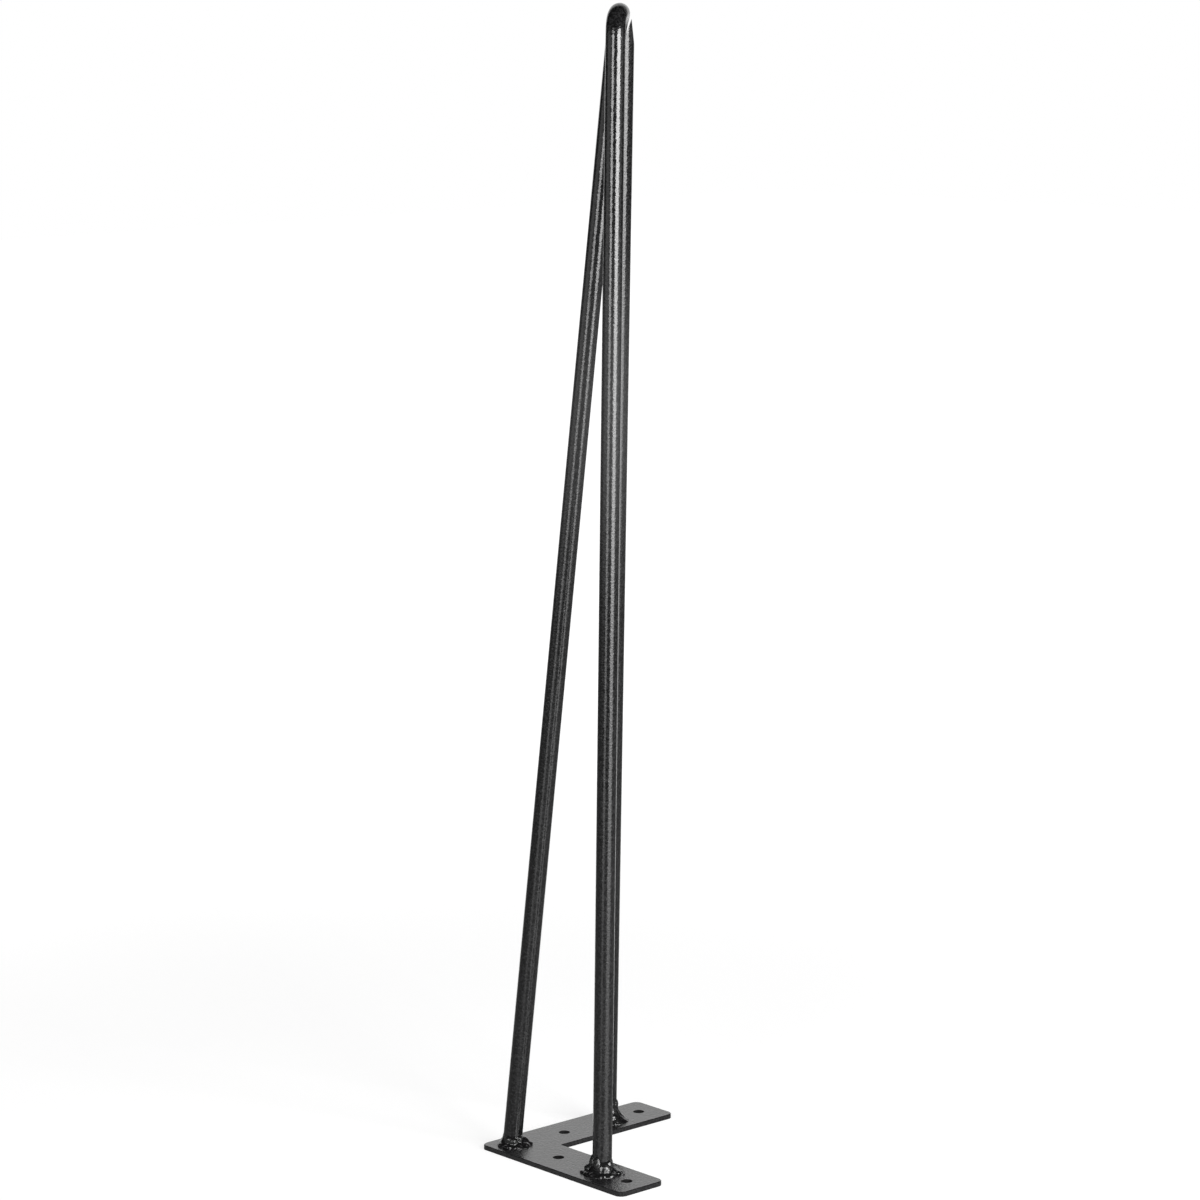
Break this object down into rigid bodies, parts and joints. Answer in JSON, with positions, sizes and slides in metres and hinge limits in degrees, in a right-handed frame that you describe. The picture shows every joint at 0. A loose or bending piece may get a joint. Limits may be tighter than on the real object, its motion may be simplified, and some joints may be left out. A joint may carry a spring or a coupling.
{
  "type": "hairpin table leg",
  "caption": "Black steel hairpin table leg: a bar bent to a narrow U and a straight rod cut to a point and welded to its bend, all on an L-shaped mounting plate with screw holes.",
  "frame": {"origin": "on the mounting face, where the two lines of screw holes cross", "axes": "+X along one arm of the plate, +Y along the other arm, +Z from the mounting face towards the foot"},
  "size_m": [0.132, 0.132, 0.711],
  "materials": {
    "plate_coat": "fine textured semi-gloss powder coat",
    "rod_coat": "fine textured semi-gloss powder coat",
    "weld_coat": "semi-gloss powder coat over a weld bead"
  },
  "bodies": {
    "root": {"mounting_plate": "plate_coat", "hairpin_rod": "rod_coat", "straight_rod": "rod_coat", "weld_arm_x": "weld_coat", "weld_arm_y": "weld_coat", "weld_corner": "weld_coat", "weld_foot": "weld_coat"}
  },
  "joints": []
}
